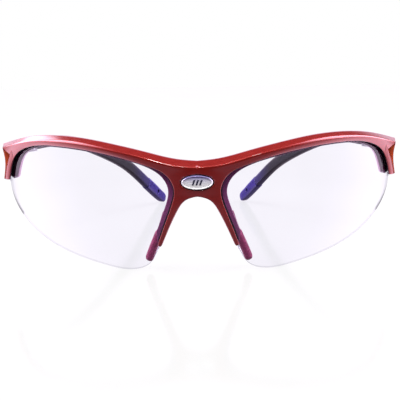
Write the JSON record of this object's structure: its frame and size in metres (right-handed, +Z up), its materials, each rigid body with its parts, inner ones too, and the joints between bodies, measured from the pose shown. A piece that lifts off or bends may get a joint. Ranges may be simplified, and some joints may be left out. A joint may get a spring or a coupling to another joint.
{
  "type": "sports protective goggles",
  "caption": "Wraparound half-rim sports protective goggles: glossy red frame, clear shatter-proof lenses, soft nose pads and inward-folding temples with rubber tips.",
  "frame": {"origin": "on the resting plane, in the middle of the footprint: X = 0 is the plane between the lenses, Y = 0 is half way from the badge to the temple tips", "axes": "+X to the wearer's left, +Y from the front towards the back of the head, +Z up, as the open goggles stand on a table"},
  "size_m": [0.1422, 0.1522, 0.0446],
  "materials": {
    "red_lacquer": "metallic red clear-coated lacquer on nylon",
    "plum_plastic": "dark plum moulded plastic, satin gloss",
    "plum_rubber": "soft plum elastomer",
    "clear_lens": "clear polycarbonate, polished, faint lavender tint",
    "badge_metal": "brushed field with a polished rim",
    "badge_inlay": "black enamel",
    "hinge_metal": "fine brushed",
    "screw_steel": "turned steel",
    "washer_nylon": "natural nylon",
    "navy_rubber": "navy-black soft-touch elastomer, fine grip texture",
    "tip_rubber": "navy-purple elastomer"
  },
  "bodies": {
    "front": {"front_frame": "red_lacquer", "inner_rim": "plum_plastic", "badge_plate": "badge_metal", "badge_mark": "badge_inlay", "lens_left": "clear_lens", "lens_right": "clear_lens", "nose_pad_left": "plum_rubber", "nose_pad_right": "plum_rubber", "hinge_leaf_front_left": "hinge_metal", "hinge_leaf_front_right": "hinge_metal", "hinge_screw_left": "screw_steel", "hinge_screw_right": "screw_steel", "hinge_washers_left": "washer_nylon", "hinge_washers_right": "washer_nylon", "leaf_rivets_front_left": "screw_steel", "leaf_rivets_front_right": "screw_steel"},
    "temple_left": {"hinge_leaf_temple_left": "hinge_metal", "leaf_rivets_temple_left": "screw_steel", "temple_arm_left": "red_lacquer", "temple_liner_left": "navy_rubber", "temple_tip_left": "tip_rubber"},
    "temple_right": {"hinge_leaf_temple_right": "hinge_metal", "leaf_rivets_temple_right": "screw_steel", "temple_arm_right": "red_lacquer", "temple_liner_right": "navy_rubber", "temple_tip_right": "tip_rubber"}
  },
  "joints": [
    {"name": "temple_fold_left", "type": "hinge", "parent": "front", "child": "temple_left", "pos_m": [0.0656, -0.03305, 0.03804], "axis": [0, 0, 1], "range_deg": [-12, 72]},
    {"name": "temple_fold_right", "type": "hinge", "parent": "front", "child": "temple_right", "pos_m": [-0.0656, -0.03305, 0.03804], "axis": [0, 0, -1], "range_deg": [-12, 64]}
  ]
}
